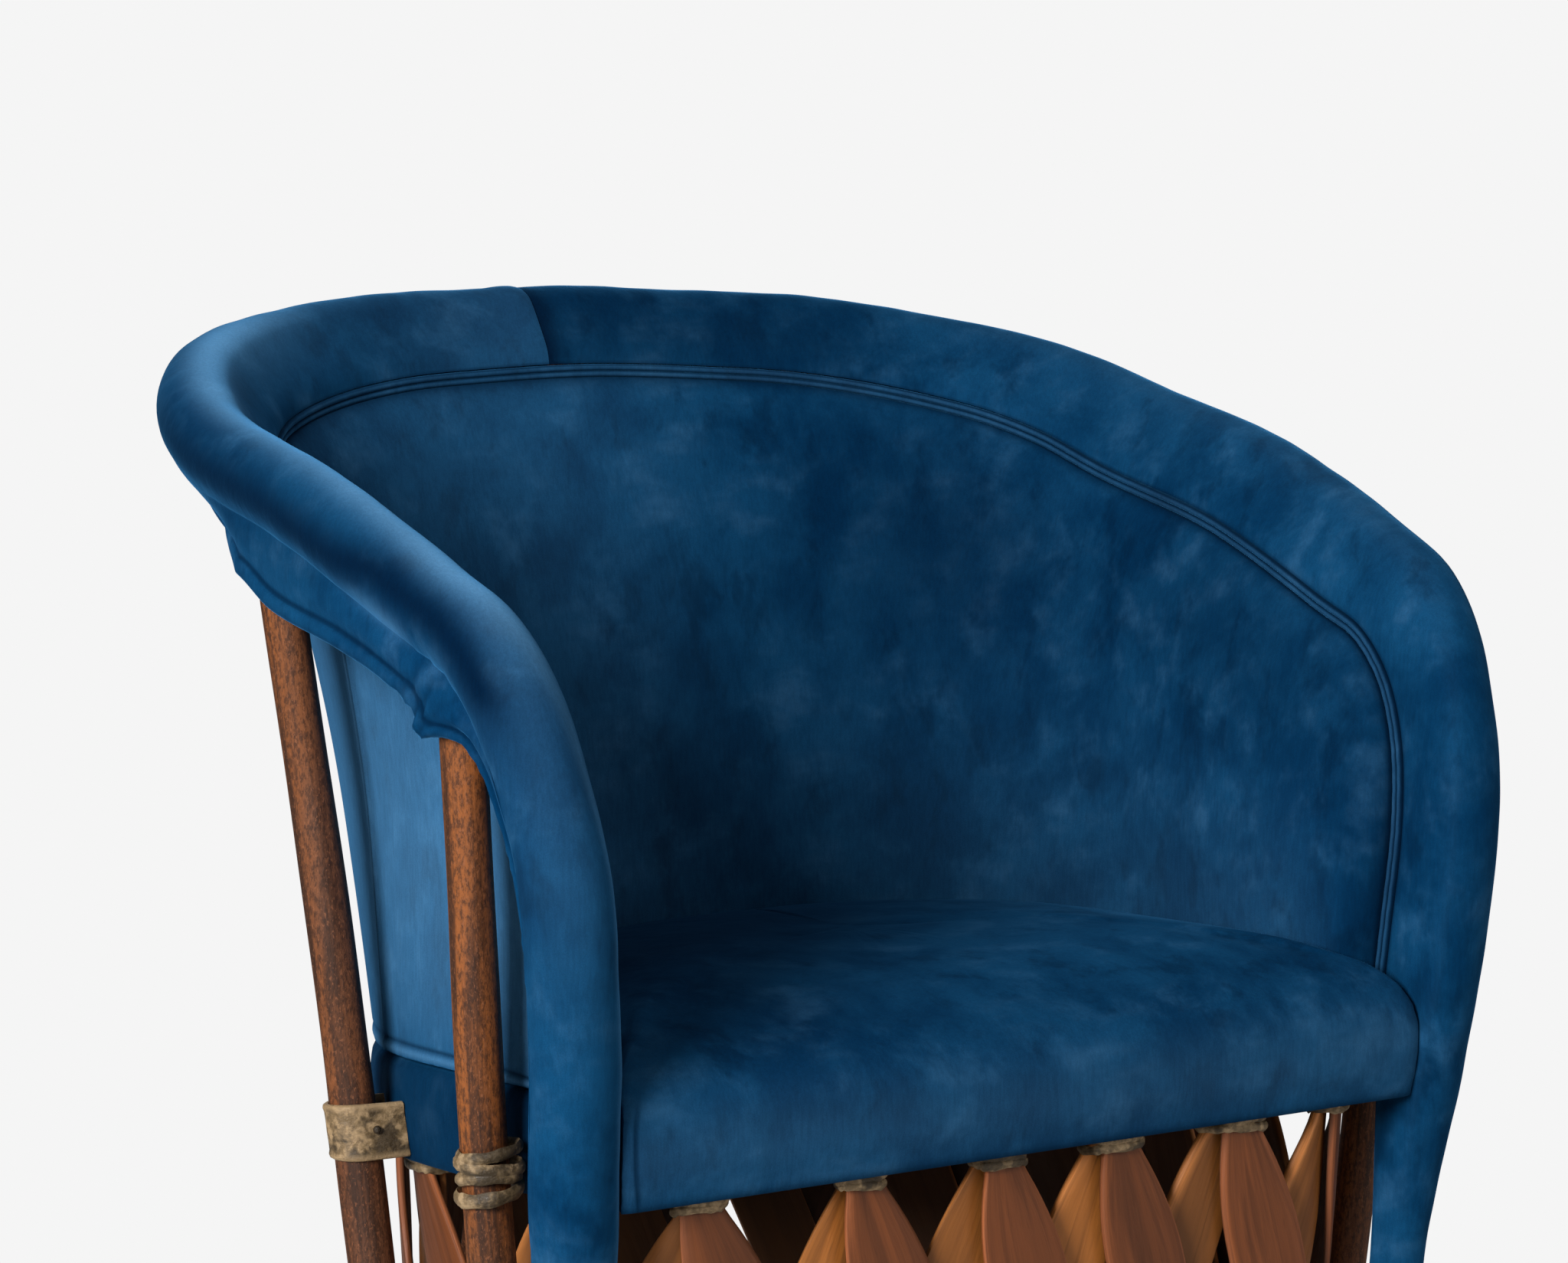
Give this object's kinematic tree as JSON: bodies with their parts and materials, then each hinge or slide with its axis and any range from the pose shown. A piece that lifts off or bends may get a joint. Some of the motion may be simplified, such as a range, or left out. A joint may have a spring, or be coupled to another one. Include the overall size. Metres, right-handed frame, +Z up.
{
  "type": "equipale barrel chair",
  "caption": "Barrel chair with a padded velvet rim, back and seat on a drum base of crossed wooden slats lashed with rawhide.",
  "frame": {"origin": "centre of the chair's footprint box, on the floor", "axes": "+Z up, front towards -Y, +X to the sitter's left"},
  "size_m": [0.6504, 0.5168, 0.8346],
  "materials": {
    "velvet": "blue velvet",
    "inner_velvet": "dark blue velvet",
    "bark": "peeled pole, bark streaks",
    "cedar": "split cedar slat, satin",
    "pale_cedar": "split cedar slat, paler, satin",
    "rawhide": "dried rawhide",
    "foam": "upholstery foam",
    "plywood": "plain board"
  },
  "bodies": {
    "root": {"rim_hoop": "bark", "rim_sleeve_left": "velvet", "rim_sleeve_right": "velvet", "back_piping": "velvet", "back_pad_inner": "inner_velvet", "back_panel_outer": "velvet", "seat_ring": "bark", "seat_deck": "plywood", "seat_foam": "foam", "seat_cover": "velvet", "base_hoop": "bark", "base_hoop_wrap": "velvet", "slat_lacing_top": "rawhide", "slat_lacing_bottom": "rawhide", "rod_1": "bark", "rod_strap_1": "rawhide", "rod_2": "bark", "rod_strap_2": "rawhide", "rod_3": "bark", "rod_strap_3": "rawhide", "rod_4": "bark", "rod_strap_4": "rawhide", "rod_5": "bark", "rod_strap_5": "rawhide", "rod_6": "bark", "rod_strap_6": "rawhide", "rod_7": "bark", "rod_strap_7": "rawhide", "slat_outer_01": "cedar", "slat_inner_01": "pale_cedar", "slat_outer_02": "cedar", "slat_inner_02": "pale_cedar", "slat_outer_03": "cedar", "slat_inner_03": "pale_cedar", "slat_outer_04": "cedar", "slat_inner_04": "pale_cedar", "slat_outer_05": "cedar", "slat_inner_05": "pale_cedar", "slat_outer_06": "cedar", "slat_inner_06": "pale_cedar", "slat_outer_07": "cedar", "slat_inner_07": "pale_cedar", "slat_outer_08": "cedar", "slat_inner_08": "pale_cedar", "slat_outer_09": "cedar", "slat_inner_09": "pale_cedar", "slat_outer_10": "cedar", "slat_inner_10": "pale_cedar", "slat_outer_11": "cedar", "slat_inner_11": "pale_cedar", "slat_outer_12": "cedar", "slat_inner_12": "pale_cedar", "slat_outer_13": "cedar", "slat_inner_13": "pale_cedar", "slat_outer_14": "cedar", "slat_inner_14": "pale_cedar", "slat_outer_15": "cedar", "slat_inner_15": "pale_cedar", "slat_outer_16": "cedar", "slat_inner_16": "pale_cedar"}
  },
  "joints": []
}
